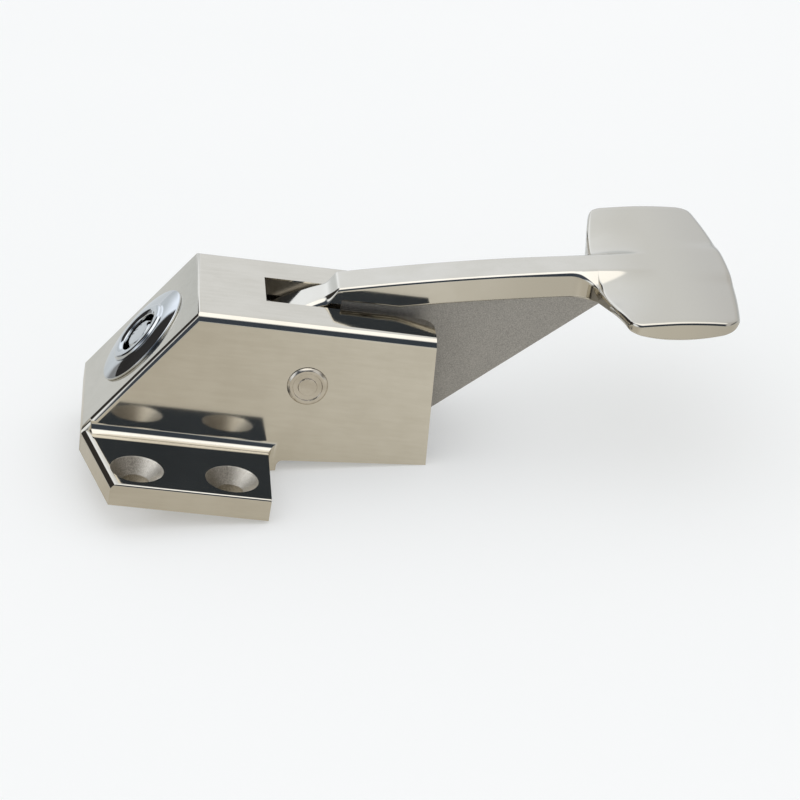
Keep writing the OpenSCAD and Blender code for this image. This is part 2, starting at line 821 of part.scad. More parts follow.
// Spindle: a chamfered post with one key slot, a shaft through the blocks, a square for the cam, and a tail
module lock_spindle() {
    post_top = ring_t - 0.3;
    color(chrome) in_lock() difference() {
        union() {
            translate([0, 0, 0.5 - post_top]) cylinder(d = post_d, h = post_top - 0.5 + keyway_l);
            translate([0, 0, -post_top]) cylinder(d1 = post_d - 1, d2 = post_d, h = 0.5);
            cylinder(d = shaft_d, h = square_from + seat_clear);
            translate([-square_w / 2, -square_w / 2, square_from])
                cube([square_w, square_w, cam_back - square_from]);
            cylinder(d = tail_d, h = tail_l);
        }
        translate([post_d / 2 - 1.2, -0.7, -ring_t]) cube([post_d, 1.4, ring_t + 1.5]);
    }
}

// The tumblers stand evenly round the post, with the dowel half way between the first and the last
function tumbler_angle(i) = 360 * (i - 0.5) / pin_count;

// A pin block, bored for its tumblers and for the spindle
module pin_block(from, to, bore_from, bore_to, clear) {
    difference() {
        translate([0, 0, from]) cylinder(d = block_d - 2 * clear, h = to - from);
        translate([0, 0, from - past]) cylinder(d = shaft_d + 2 * seat_clear, h = to - from + 2 * past);
        for (i = [1:pin_count])
            rotate(tumbler_angle(i)) translate([pin_ring_r, 0, bore_from])
                cylinder(d = tumbler_d + 2 * run_clear, h = bore_to - bore_from);
    }
}

module front_pin_block() {
    color(brass) in_lock()
        pin_block(keyway_l + run_clear, shear - run_clear, keyway_l - past, shear + past, run_clear);
}

module rear_pin_block() {
    color(brass) in_lock() difference() {
        pin_block(shear, barrel_l, shear - past, shear + driver_l + pin_spring_l + 0.2, seat_clear);
        dowel_hole();
    }
}

// The dowel that keeps the rear block in the shell; it stops short of the spindle
module block_dowel() {
    from = shaft_d / 2 + 0.4;
    color(spring_steel) in_lock() translate([from, 0, dowel_depth]) rotate([0, 90, 0])
        cylinder(d = dowel_d, h = barrel_d / 2 - from - 0.3);
}

// Places a tumbler by number, from one depth to the next
module at_tumbler(i) {
    in_lock() rotate(tumbler_angle(i)) translate([pin_ring_r, 0, 0]) children();
}

module key_pin(i) {
    color(brass) at_tumbler(i) translate([0, 0, keyway_l - pin_stand])
        cylinder(d = tumbler_d, h = pin_stand + front_block_l - run_clear);
}

module driver_pin(i) {
    color(chrome) at_tumbler(i) translate([0, 0, shear + run_clear / 2])
        cylinder(d = tumbler_d, h = driver_l);
}

module pin_spring(i) {
    turns = 5;
    from = shear + driver_l + run_clear + coil_wire / 2 + 0.02;
    r = tumbler_d / 2 - coil_wire / 2;
    rise = pin_spring_l - coil_wire - 0.1;
    path = [for (a = [0:40:360 * turns]) [r * cos(a), r * sin(a), from + rise * a / (360 * turns)]];
    color(spring_steel) at_tumbler(i) wire(path, coil_wire / 2, [0, 0, 1], 5);
}

// The cam: a round boss on the spindle's square, drawn in one sweep with its straight, round-ended arm
module lock_cam() {
    color(steel) in_lock() translate([0, 0, cam_front]) linear_extrude(cam_t) difference() {
        union() {
            circle(cam_boss_r);
            intersection() {
                translate([-cam_w / 2, 0]) square([cam_w, cam_reach]);
                circle(cam_tip_r);
            }
        }
        square(square_w + 2 * seat_clear, center = true);
    }
}

module cam_washer() {
    color(spring_steel) in_lock() translate([0, 0, cam_back]) difference() {
        cylinder(r = cam_boss_r - 0.4, h = washer_t);
        translate([0, 0, -past]) cylinder(d = tail_d + 0.3, h = washer_t + 2 * past);
    }
}

module cam_nut() {
    color(chrome) in_lock() translate([0, 0, cam_back + washer_t]) difference() {
        cylinder(d = cam_nut_af / cos(30), h = cam_nut_t, $fn = 6);
        translate([0, 0, -past]) cylinder(d = tail_d + 2 * seat_clear, h = cam_nut_t + 2 * past);
    }
}

placed() housing();
placed() lever();
placed() pivot_pin();
placed() bush_near();
placed() bush_far();
placed() spring_near();
placed() spring_far();
placed() lock_shell();
placed() lock_nut();
placed() lock_spindle();
placed() front_pin_block();
placed() rear_pin_block();
placed() block_dowel();
for (i = [1:pin_count]) {
    placed() key_pin(i);
    placed() driver_pin(i);
    placed() pin_spring(i);
}
placed() lock_cam();
placed() cam_washer();
placed() cam_nut();
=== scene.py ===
"""Looks of the door latch: a polished casting, a sprung lever with a finger paddle and a chromed key lock.

Lengths in the shape functions are millimetres about the latch's middle plane; add_mesh carries them into
the part's frame, in metres.
"""

import math

import bmesh
import bpy
import numpy as np
from mathutils import Matrix, Vector


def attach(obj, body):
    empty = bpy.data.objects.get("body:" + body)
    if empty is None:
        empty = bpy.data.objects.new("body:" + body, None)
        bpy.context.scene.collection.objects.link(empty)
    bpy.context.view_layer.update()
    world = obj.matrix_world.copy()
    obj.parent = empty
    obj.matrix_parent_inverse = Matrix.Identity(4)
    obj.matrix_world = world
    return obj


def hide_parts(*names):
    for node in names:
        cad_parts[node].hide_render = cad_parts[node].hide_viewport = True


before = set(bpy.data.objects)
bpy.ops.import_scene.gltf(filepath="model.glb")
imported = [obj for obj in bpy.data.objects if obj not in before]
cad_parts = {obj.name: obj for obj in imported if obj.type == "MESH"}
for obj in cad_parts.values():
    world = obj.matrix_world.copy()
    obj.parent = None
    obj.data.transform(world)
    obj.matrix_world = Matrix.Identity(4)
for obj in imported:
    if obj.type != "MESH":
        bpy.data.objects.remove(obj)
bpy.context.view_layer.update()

# Units, the latch's middle plane in the part's frame, and how meshes are joined and rounded
MM = 0.001
MIDDLE = 32.0
JOIN = 0.002
FLAT_ANGLE = math.radians(0.4)
SHARP_ANGLE = math.radians(35)

# Housing: the places that other pieces take from it
PIVOT = np.array([24.4, 0.0, 21.1])
ROOF_Z = 35.0
FRONT_X = -22.0
FLANGE_T = 5.0
SLOPE_RUN = 21.5
SLOPE_RISE = 30.0
SLOPE = math.atan2(SLOPE_RISE, SLOPE_RUN)
LOCK_UP = 0.52 * math.hypot(SLOPE_RISE, SLOPE_RUN)
LOCK = np.array([LOCK_UP * math.cos(SLOPE) + FRONT_X, 0.0, LOCK_UP * math.sin(SLOPE) + FLANGE_T])
SCREW_X = 10.0
SCREW_Y = -32.0

# Housing: limits that tell its surfaces apart when it is painted
SINK_R = 5.75
SINK_TOP = 4.97
UNDERSIDE = 0.05
CAVITY_HALF = 12.8
CAVITY_TOP = 31.05
SLOPE_T = 3.9
FLANGE_SIDE = -17.4
FLANGE_TOP = 6.5
SLOT_HALF = 6.2
SLOT_X = 13.9
SLOT_TOP = 34.7
WALLS_FROM = 5.1
WALL_LEAN = 0.072

# Lever: its top line, from the heel in the slot over the bevel and the crease along the arm
CREASE_X = PIVOT[0] + 4.8
CREASE_UP = 4.1
CREASE_SOFT = 0.12
BEVEL_ANGLE = math.radians(52.0)
BEVEL_RISE = 2.55
BEVEL_X = CREASE_X - BEVEL_RISE / math.tan(BEVEL_ANGLE)
HOLLOW_SOFT = 0.3
HEEL_X = 14.3
HEEL_ANGLE = math.radians(24.0)
HEEL_SAG = 0.0075
ARM_ANGLE = math.radians(13.8)
ARM_SAG = 0.00077

# Lever: half widths, thickness, edge radii, and what its underside clears
HEEL_HALF = 5.6
ARM_HALF = 4.85
ARM_T = 6.1
HEEL_ROUND = 2.0
RIM_ROUND = 0.8
UNDER_ROUND = 0.45
HEEL_UNDER = PIVOT[2] + 5.15
ARM_GAP = 1.2

# Paddle: outline, section, and how far its wings fall beside the arm
PADDLE_X = PIVOT[0] + 74.15
HALF_CHORD = 14.35
HALF_SPAN = 31.5
NECK_R = 6.0
NECK_X = PADDLE_X - HALF_CHORD - NECK_R
FRONT_R = 3.2
BACK_R = 4.2
BOW_FRONT = 3.3
BOW_BACK = 2.8
EDGE_T = 1.9
PADDLE_T = 4.3
FRONT_NOSE = 0.75
BACK_NOSE = 1.6
BLUNT = 0.995
WING_FROM = 9.0
WING_LOW = 3.0
BACK_LOW = 0.6
FALL_X = NECK_X - 15.0
FALL_RUN = 20.0
FADE = 0.85
FADE_FROM = 8.0
FADE_RUN = 20.0
SHOULDER = ARM_HALF - 0.5
SHOULDER_SOFT = 0.25
SHOULDER_RUN = 3.2

# Web, hub, lugs and teeth under the arm, about the pivot, with angles in degrees from +X towards +Z
WEB_HALF = 4.0
WEB_ANGLE = math.radians(42.5)
WEB_OFF = 25.8
WEB_HUB_R = 9.6
WEB_REACH = 3.0
HOOK_R = 19.5
HOOK_FROM = -37.0
HOOK_TO = -68.0
LIP_DROP = 2.2
LIP_OUT = 0.4
LIP_BACK = 1.2
NOTCH_OFF = 14.9
NOTCH_ANGLE = -36.0
NOTCH_R = 4.6
HUB_R = 10.3
HUB_BORE_R = 4.4
HUB_HALF = 5.7
LUG_AT = (14.046, -2.329)
LUG_R = 1.6
LUG_HALF = 8.1
TOOTH_R = 13.9
TOOTH_ROOT_R = 9.5
TOOTH_FROM = 174.3
TOOTH_TO = 190.0
STOP_X = (-13.2, -8.4)
STOP_Z = (6.4, 9.6)

# Lock: radii, and heights out of the slope
HEAD_R = 12.25
HEAD_SEAT = 0.02
HEAD_RIM = 0.5
DOME_R = 12.0
BARREL_R = 9.5
BARREL_FLAT = 8.25
BARREL_END = -19.3
KEYWAY_R = 4.9
KEYWAY_END = -6.0
POCKET_R = 6.5
KEY_NOTCH_HALF = 0.8
KEY_NOTCH_DEEP = 0.9
TUMBLERS = 7

# Lock: its own directions, up the slope, across it and out of it
UP = np.array([math.cos(SLOPE), 0.0, math.sin(SLOPE)])
ACROSS = np.array([0.0, 1.0, 0.0])
OUT = np.array([-math.sin(SLOPE), 0.0, math.cos(SLOPE)])

# Studio: the part lies tipped, on its flange's end and its walls' lower corner, so the floor leans
FLANGE_END_X = 22.2
WALL_CORNER_X = 52.7
WALL_CORNER_Z = 5.2
FLOOR_LEAN = math.atan2(WALL_CORNER_Z, WALL_CORNER_X - FLANGE_END_X)
FLOOR_HALF = 4.0
PALE = (0.925, 0.94, 0.945, 1)

# Camera, as fitted to the photograph's edges: its turns, where the part's origin lies from it, and its lens
TIP = math.radians(9.14251)
HEADING = math.radians(4.65872)
TILT = math.radians(26.99722)
ROLL = math.radians(0.19284)
ORIGIN_RIGHT = -48.48291
ORIGIN_UP = -5.44826
ORIGIN_AWAY = 585.09381
FOCAL_PIXELS = 2646.547
FRAME_PIXELS = 800.0
SENSOR = 36.0


def add_mesh(name, verts, faces):
    """A smooth-shaded mesh object from points in millimetres and a list or array of faces."""
    mesh = bpy.data.meshes.new(name)
    points = (np.asarray(verts, float) + (0.0, MIDDLE, 0.0)) * MM
    mesh.from_pydata(points.tolist(), [], [list(map(int, face)) for face in faces])
    mesh.polygons.foreach_set("use_smooth", [True] * len(mesh.polygons))
    mesh.update()
    obj = bpy.data.objects.new(name, mesh)
    bpy.context.scene.collection.objects.link(obj)
    return obj


def grid_faces(rows, cols, close_rows=False, close_cols=False):
    """Quads of a grid of rows by cols points, in row order; either way round can close on itself."""
    row = np.arange(rows if close_rows else rows - 1)
    col = np.arange(cols if close_cols else cols - 1)
    a, b = np.meshgrid(row, col, indexing="ij")
    a2, b2 = (a + 1) % rows, (b + 1) % cols
    return np.stack([a * cols + b, a2 * cols + b, a2 * cols + b2, a * cols + b2], -1).reshape(-1, 4)


def bevel(obj, width, segments=3):
    """Rounds every sharp edge, and evens the normals out over the flat faces."""
    edges = obj.modifiers.new("edges", "BEVEL")
    edges.width = width * MM
    edges.segments = segments
    edges.limit_method = "ANGLE"
    edges.angle_limit = SHARP_ANGLE
    edges.miter_outer = "MITER_ARC"
    edges.harden_normals = True
    normals = obj.modifiers.new("normals", "WEIGHTED_NORMAL")
    normals.keep_sharp = True
    return obj


def merged_copy(node, name, apart=JOIN):
    """A copy of a CAD node's mesh that stands for the node. Corners this near are joined, and flat faces
    made whole, so that its edges can be rounded."""
    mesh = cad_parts[node].data.copy()
    mesh.name = name
    obj = bpy.data.objects.new(name, mesh)
    bpy.context.scene.collection.objects.link(obj)
    bm = bmesh.new()
    bm.from_mesh(mesh)
    bmesh.ops.remove_doubles(bm, verts=bm.verts, dist=apart * MM)
    bmesh.ops.dissolve_limit(bm, angle_limit=FLAT_ANGLE, verts=bm.verts, edges=bm.edges)
    for face in bm.faces:
        face.smooth = True
    bm.to_mesh(mesh)
    bm.free()
    mesh.materials.clear()
    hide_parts(node)
    return obj


def smooth(t):
    """A smooth step from 0 at t = 0 to 1 at t = 1: three times its square, less twice its cube."""
    u = np.clip(t, 0.0, 1.0)
    return u * u * (3.0 - 2.0 * u)


def soft_max(a, b, width):
    """The higher of two heights, blended where they are near: the logarithm of their summed exponentials."""
    return width * np.logaddexp(a / width, b / width)


def quarter(q):
    """Fall of a quarter circle of radius 1, from 0 at q = 0 to 1 at q = 1."""
    return 1 - np.sqrt(1 - q ** 2)


def crest(x):
    """Height of the lever's top line: the higher of the heel's curve and the bevel's line, blended in a
    hollow, and then the lower of that and the arm's parabola, blended at the crease."""
    past = x - CREASE_X
    back = BEVEL_X - x
    arm_line = past * math.tan(ARM_ANGLE) - ARM_SAG * past * np.abs(past)
    bevel_line = past * math.tan(BEVEL_ANGLE)
    heel_line = -BEVEL_RISE - back * math.tan(HEEL_ANGLE) - HEEL_SAG * back * np.abs(back)
    hollow = soft_max(bevel_line, heel_line, HOLLOW_SOFT)
    return ROOF_Z + CREASE_UP - soft_max(-arm_line, -hollow, CREASE_SOFT)


def lens(chord):
    """Thickness of the paddle over its chord: a parabola from edge to edge."""
    return EDGE_T + (PADDLE_T - EDGE_T) * (1 - chord ** 2)


def near_edge(chord, run, most=1.0):
    """Share of the way through the chord's last run, at its front or its back."""
    return np.clip((np.abs(chord) * HALF_CHORD - HALF_CHORD + run) / run, 0, most)


def wing(y):
    """Share of the paddle's wing: none along the arm, all further out, by a bell of the sixth power."""
    return 1.0 - np.exp(-(np.abs(y) / WING_FROM) ** 6)


def shoulder(y):
    """Share of the fall beside the arm: none on its flat top, then a soft crease and a hollow curve that
    dies away towards the wing."""
    past = soft_max(0.0, np.abs(y) - SHOULDER, SHOULDER_SOFT)
    return 1.0 - np.exp(-past / SHOULDER_RUN)


def lever_stations():
    """Stations along the lever, as columns: x in the middle, half width, edge radius, chord position from -1
    at the paddle's front to 1 at its back, and 1 on the paddle or 0 before it. The arm widens through the
    neck, and the paddle narrows at its corners, by quarter circles."""
    heel_x = np.linspace(HEEL_X, BEVEL_X - 1.0, 30)
    bevel_x = np.linspace(BEVEL_X - 0.9, CREASE_X + 1.0, 40)
    arm_x = np.linspace(CREASE_X + 1.3, NECK_X, 60)
    x = np.concatenate([heel_x, bevel_x, arm_x])
    narrow = smooth(2.0 * (x - HEEL_X) / (BEVEL_X - HEEL_X) - 1.0)
    half = HEEL_HALF - (HEEL_HALF - ARM_HALF) * narrow
    sharpen = smooth((x - BEVEL_X + 0.5) / (CREASE_X - BEVEL_X + 0.5))
    edge = HEEL_ROUND - (HEEL_ROUND - RIM_ROUND) * sharpen
    arm_rows = np.stack([x, half, edge, 0 * x - 1, 0 * x], -1)

    q = np.sin(np.linspace(0, math.pi / 2, 28))[1:]
    neck = ARM_HALF + NECK_R * quarter(q)
    neck_rows = np.stack([NECK_X + q * NECK_R, neck, RIM_ROUND * (1 - 0.4 * q), 0 * q - 1, 0 * q], -1)

    spread = np.sin(np.linspace(-math.pi / 2, math.pi / 2, 121))
    chord = np.sign(spread) * (1 - (1 - np.abs(spread)) ** 0.9)
    corner_r = np.where(chord < 0, FRONT_R, BACK_R)
    tip = HALF_SPAN - corner_r * quarter(near_edge(chord, corner_r))
    rim = np.minimum(RIM_ROUND, 0.35 * lens(chord))
    paddle_rows = np.stack([PADDLE_X + chord * HALF_CHORD, tip, rim, chord, 0 * chord + 1], -1)
    return np.concatenate([arm_rows, neck_rows, paddle_rows])


def lever_columns(flat, edge):
    """Places across each station, from one rim to the other: round the edge by even angles, then closer and
    closer up to the shoulder's crease, and evenly over the arm."""
    turn = np.linspace(0, math.pi / 2, 8)[None, :]
    out = np.linspace(1, 0, 24)[None, 1:] ** 1.5
    even = np.linspace(1, 0, 10)[None, 1:]
    fold = np.minimum(SHOULDER, 0.9 * flat)
    side = np.concatenate([flat + edge * np.cos(turn), fold + out * (flat - fold), fold * even], axis=1)
    return np.concatenate([-side, side[:, -2::-1]], axis=1)


def end_cap(around):
    """Faces that close the end of the lever's skin, given the points around it: strips between its top and
    its underside, with a six-sided face at each rim."""
    half = around // 2
    last = around - 1
    first_face = [0, 1, 2, last - 2, last - 1, last]
    last_face = [half - 3, half - 2, half - 1, half, half + 1, half + 2]
    strips = [[a, a + 1, last - 1 - a, last - a] for a in range(2, half - 3)]
    return [first_face, *strips, last_face]


def lever_skin():
    """Heel, arm and paddle as one skin over a grid. Rows are stations along the lever; columns run across
    the top and back across the underside. The top is the crest, less the shoulder's fall at the paddle's
    front and a small fall at its back; the underside lies a lens thickness below it; both round off towards
    the rim by a quarter circle."""
    x0, half, edge, chord, on_paddle = (column[:, None] for column in lever_stations().T)
    flat = half - edge
    y = lever_columns(flat, edge)
    bow = on_paddle * np.where(chord < 0, -BOW_FRONT * chord, -BOW_BACK * chord)
    x = x0 + bow * (y / HALF_SPAN) ** 2

    w = wing(y)
    fade = 1.0 - FADE * smooth((np.abs(y) - FADE_FROM) / FADE_RUN)
    front = WING_LOW * (np.clip(-chord - 0.1, 0, None) / 0.9) ** 1.2 * fade
    back = np.where(chord > 0, BACK_LOW * chord ** 2, 0.0)
    spine = np.where(chord > 0, lens(chord), PADDLE_T + (ARM_T - PADDLE_T) * smooth(-chord))
    top = crest(x) - front * shoulder(y) * smooth((x - FALL_X) / FALL_RUN) - back * w
    under = crest(x) - (front + back) * w - (w * lens(chord) + (1 - w) * spine)
    roofed = np.where(x < CREASE_X + 1.0, HEEL_UNDER, np.maximum(crest(x) - ARM_T, ROOF_Z + ARM_GAP))
    under = np.where(x0 < NECK_X + 0.01, roofed, under)

    nose = near_edge(chord, np.where(chord < 0, FRONT_NOSE, BACK_NOSE), BLUNT) * on_paddle
    pinch = quarter(nose) * np.where(chord < 0, w, 1.0)
    middle = 0.5 * (top + under)
    thick = 0.5 * (top - under) * (1 - pinch)
    fall = edge * quarter(np.clip((np.abs(y) - flat) / edge, 0, 1))
    top = middle + thick - np.minimum(fall, 0.9 * thick)
    under = middle - thick + np.minimum(np.minimum(fall, UNDER_ROUND), 0.9 * thick)

    upper, lower = np.stack([x, y, top], -1), np.stack([x, y, under], -1)
    share = np.array([0.93, 0.07])[None, :, None]
    near = share * upper[:, :1] + (1 - share) * lower[:, :1]
    far = share * upper[:, -1:] + (1 - share) * lower[:, -1:]
    loop = np.concatenate([near[:, :1], upper, far, lower[:, ::-1], near[:, 1:]], axis=1)
    rows, around = loop.shape[:2]
    faces = grid_faces(rows, around, close_cols=True)[:, ::-1].tolist()
    faces += [face[::-1] for face in end_cap(around)]
    faces += [[v + (rows - 1) * around for v in face] for face in end_cap(around)]
    return add_mesh("lever_arm", loop.reshape(-1, 3), faces)


def polar(r, degrees):
    """A point, or points, of x and z at a distance and an angle from +X towards +Z."""
    t = np.radians(degrees)
    return np.stack([r * np.cos(t), r * np.sin(t)], -1)


def plate(name, outline, half):
    """A flat plate: an outline of x and z about the pivot, anticlockwise, carried across the latch."""
    points = np.asarray(outline, float)
    count = len(points)
    x, z = PIVOT[0] + points[:, 0], PIVOT[2] + points[:, 1]
    sides = [np.stack([x, np.full(count, y), z], -1) for y in (-half, half)]
    i = np.arange(count)
    after = (i + 1) % count
    band = np.stack([i + count, after + count, after, i], -1).tolist()
    caps = [list(range(count)), list(range(2 * count - 1, count - 1, -1))]
    return add_mesh(name, np.concatenate(sides), band + caps)


def web_outline():
    """Outline of the web about the pivot, anticlockwise: free edge, a line inside the arm, the hub's side,
    the notch round the keeper and the hook's lip."""
    edge = WEB_OFF * np.array([math.sin(WEB_ANGLE), -math.cos(WEB_ANGLE)])
    along = np.array([math.cos(WEB_ANGLE), math.sin(WEB_ANGLE)])
    lip = polar(HOOK_R, HOOK_TO)
    low = lip[1] - LIP_DROP
    foot = edge + along * (low - edge[1]) / along[1]
    top_x = PADDLE_X - HALF_CHORD + WEB_REACH
    top_z = float(crest(np.array(top_x))) - ARM_T - PIVOT[2]
    top = edge + along * (top_z - edge[1]) / along[1]
    xs = np.linspace(top_x, CREASE_X + WEB_REACH, 9)
    inside = np.stack([xs - PIVOT[0], crest(xs) - ARM_T / 3 - PIVOT[2]], -1)
    hub = polar(WEB_HUB_R, np.linspace(90, -33, 20))
    round_notch = np.linspace(NOTCH_ANGLE + 180, NOTCH_ANGLE + 360, 15)
    notch = polar(NOTCH_OFF, NOTCH_ANGLE) + polar(NOTCH_R, round_notch)
    hook = polar(HOOK_R, np.linspace(HOOK_FROM, HOOK_TO, 14))
    end = [lip - (LIP_OUT, 0.0), (lip[0] + LIP_BACK, low)]
    return np.concatenate([[foot, top], inside, hub, notch, hook, end])


def tooth_outline():
    """Outline of the lock tooth about the pivot: a sector of a ring."""
    outer = polar(TOOTH_R, np.linspace(TOOTH_FROM, TOOTH_TO, 9))
    root = polar(TOOTH_ROOT_R, np.linspace(TOOTH_TO, TOOTH_FROM, 5))
    return np.concatenate([outer, root])


def stop_outline():
    """Outline of the stop lug about the pivot: a rectangle."""
    (left, right), (low, high) = STOP_X, STOP_Z
    return [(left, low), (right, low), (right, high), (left, high)]


def rounded(points, radius):
    """A line of points whose inner corners are replaced by parabolas that start the given radius from the
    corner, or nearer on a short side."""
    line = np.asarray(points, float)
    t = np.linspace(0, 1, 5)[:, None]
    out = [line[0]]
    for before, corner, after in zip(line[:-2], line[1:-1], line[2:]):
        back, on = before - corner, after - corner
        back_length, on_length = np.linalg.norm(back), np.linalg.norm(on)
        run = min(radius, 0.45 * back_length, 0.45 * on_length)
        start, end = corner + back / back_length * run, corner + on / on_length * run
        out.extend((1 - t) ** 2 * start + 2 * t * (1 - t) * corner + t ** 2 * end)
    out.append(line[-1])
    return np.array(out)


def turned(name, inner, outer, half, radius, centre=(0.0, 0.0), steps=96):
    """A ring or rod turned about an axis across the latch: a rectangle of radius and y, with its outer
    corners rounded, carried all round."""
    profile = rounded([(inner, -half), (outer, -half), (outer, half), (inner, half)], radius)
    t = np.linspace(0, 2 * math.pi, steps, endpoint=False)[:, None]
    x = PIVOT[0] + centre[0] + profile[:, 0] * np.cos(t)
    z = PIVOT[2] + centre[1] + profile[:, 0] * np.sin(t)
    points = np.stack([x, np.broadcast_to(profile[:, 1], x.shape), z], -1)
    return add_mesh(name, points.reshape(-1, 3), grid_faces(steps, len(profile), True, True))


def in_lock(r, angle, out):
    """Points of the lock: radius and angle round its axis, and height out of the sloped face."""
    r, angle, out = np.broadcast_arrays(r, angle, out)
    up, across = r * np.cos(angle), r * np.sin(angle)
    return LOCK + up[..., None] * UP + across[..., None] * ACROSS + out[..., None] * OUT


def lock_head():
    """Head and barrel of the lock: a profile of radius and height turned round the lock's axis. The head's
    face is a low dome, a parabola of the distance from its rim, up to a raised ring. The barrel's radius is
    the smaller of its circle and its flats, and the keyway's wall steps out at the key's notch."""
    rim = [(BARREL_R, HEAD_SEAT), (HEAD_R, HEAD_SEAT), (HEAD_R, HEAD_RIM)]
    face_r = np.linspace(11.9, 7.75, 9)
    face = np.stack([face_r, 0.6 + 0.24 * (DOME_R - face_r) - 0.021 * (DOME_R - face_r) ** 2], -1)
    ring = [(7.45, 1.42), (7.3, 1.72), (6.9, 1.86), (6.2, 1.88), (5.5, 1.8), (KEYWAY_R, 1.5)]
    bore = [(KEYWAY_R, KEYWAY_END), (POCKET_R, KEYWAY_END), (POCKET_R, BARREL_END)]
    barrel = [(BARREL_R, BARREL_END), (BARREL_R, HEAD_SEAT)]
    profile = rounded([*rim, *face, *ring, *bore, *barrel], 0.2)[:-1]

    steps = 192
    a = np.linspace(0, 2 * math.pi, steps, endpoint=False)[:, None]
    r, out = profile[None, :, 0] + 0 * a, profile[None, :, 1] + 0 * a
    flat = BARREL_FLAT / np.maximum(np.abs(np.sin(a)), 1e-6)
    r = np.where((out < 0.0) & (r > 9.0), np.minimum(r, flat), r)
    from_notch = np.abs(np.mod(a + math.pi, 2 * math.pi) - math.pi) * KEYWAY_R
    notch = np.clip(1.6 - from_notch / KEY_NOTCH_HALF, 0, 1)
    r = r + KEY_NOTCH_DEEP * notch * ((r < 5.6) & (out > 0.7))
    faces = grid_faces(steps, len(profile), True, True)[:, ::-1]
    return add_mesh("lock_head", in_lock(r, a, out).reshape(-1, 3), faces)


class Value:
    """A number or colour in a shader; the usual signs of arithmetic add the nodes for it."""

    def __init__(self, tree, socket):
        self.tree = tree
        self.socket = socket

    def calc(self, operation, *values):
        """A maths node of any kind."""
        node = self.tree.nodes.new("ShaderNodeMath")
        node.operation = operation
        for socket, value in zip(node.inputs, values):
            if isinstance(value, Value):
                self.tree.links.new(value.socket, socket)
            else:
                socket.default_value = value
        return Value(self.tree, node.outputs[0])

    def __add__(self, other):
        return self.calc("ADD", self, other)

    def __radd__(self, other):
        return self.calc("ADD", other, self)

    def __sub__(self, other):
        return self.calc("SUBTRACT", self, other)

    def __rsub__(self, other):
        return self.calc("SUBTRACT", other, self)

    def __mul__(self, other):
        return self.calc("MULTIPLY", self, other)

    def __rmul__(self, other):
        return self.calc("MULTIPLY", other, self)

    def __pow__(self, other):
        return self.calc("POWER", self, other)

    def __neg__(self):
        return self.calc("MULTIPLY", self, -1.0)

    def __abs__(self):
        return self.calc("ABSOLUTE", self)

    def __lt__(self, other):
        return self.calc("LESS_THAN", self, other)

    def __gt__(self, other):
        return self.calc("GREATER_THAN", self, other)

    def sign(self):
        """-1 below zero and 1 above it."""
        return self.calc("SIGN", self)

    def step(self, low, high):
        """A smooth step from 0 at low to 1 at high."""
        node = self.tree.nodes.new("ShaderNodeMapRange")
        node.interpolation_type = "SMOOTHSTEP"
        self.tree.links.new(self.socket, node.inputs["Value"])
        node.inputs["From Min"].default_value = low
        node.inputs["From Max"].default_value = high
        return Value(self.tree, node.outputs["Result"])


class Shader:
    """The nodes of one material or world."""

    def __init__(self, tree):
        self.tree = tree
        self.lean = None
        self.where = None
        tree.nodes.clear()

    def node(self, kind, settings=None, out=0, **inputs):
        """Adds a node of any kind and returns one of its outputs. An input is named with underscores for
        spaces, or by an underscore and its number, and takes a value or a link."""
        node = self.tree.nodes.new(kind)
        for name, value in (settings or {}).items():
            setattr(node, name, value)
        for name, value in inputs.items():
            socket = node.inputs[int(name[1:]) if name[0] == "_" else name.replace("_", " ")]
            if isinstance(value, Value):
                self.tree.links.new(value.socket, socket)
            else:
                socket.default_value = value
        return Value(self.tree, node.outputs[out]) if node.outputs else node

    def vector(self, operation, **inputs):
        """A vector maths node of any kind."""
        return self.node("ShaderNodeVectorMath", {"operation": operation}, **inputs)

    def mix(self, share, a, b):
        """A colour between a and b."""
        return self.node("ShaderNodeMix", {"data_type": "RGBA"}, 2, _0=share, _6=a, _7=b)

    def mottle(self, pattern, a, b, spread=0.2):
        """A colour that goes from a to b over the middle of a pattern's range."""
        return self.mix(pattern.step(0.5 - spread, 0.5 + spread), a, b)

    def split(self, vector):
        """The three parts of a vector."""
        node = self.tree.nodes.new("ShaderNodeSeparateXYZ")
        self.tree.links.new(vector.socket, node.inputs[0])
        return [Value(self.tree, output) for output in node.outputs]

    def normal(self):
        """The surface's normal, leaned upwards where the paint asks for it."""
        plain = self.node("ShaderNodeNewGeometry", out="Normal")
        if self.lean is None:
            return plain
        up = self.node("ShaderNodeCombineXYZ", Z=self.lean)
        return self.vector("NORMALIZE", _0=self.vector("ADD", _0=plain, _1=up))

    def sideways(self):
        """How far the surface faces to either side, from 0 to 1."""
        return abs(self.split(self.node("ShaderNodeNewGeometry", out="Normal"))[1])

    def place(self):
        """Object coordinates in millimetres about the latch's middle plane, as three values."""
        metres = self.node("ShaderNodeTexCoord", out="Object")
        millimetres = self.vector("SCALE", Vector=metres, Scale=1.0 / MM)
        self.where = self.vector("SUBTRACT", _0=millimetres, _1=(0.0, MIDDLE, 0.0))
        return self.split(self.where)

    def noise(self, scale, detail=3.0, rough=0.55, stretch=None):
        """Noise over the object, with a scale per millimetre, which can be stretched along the axes."""
        at = self.where
        if stretch:
            at = self.vector("MULTIPLY", _0=at, _1=stretch)
        return self.node("ShaderNodeTexNoise", Vector=at, Scale=scale, Detail=detail, Roughness=rough)

    def ray(self, kind):
        """1 for rays of one kind, such as Is Camera Ray, and otherwise 0."""
        return self.node("ShaderNodeLightPath", out=kind)


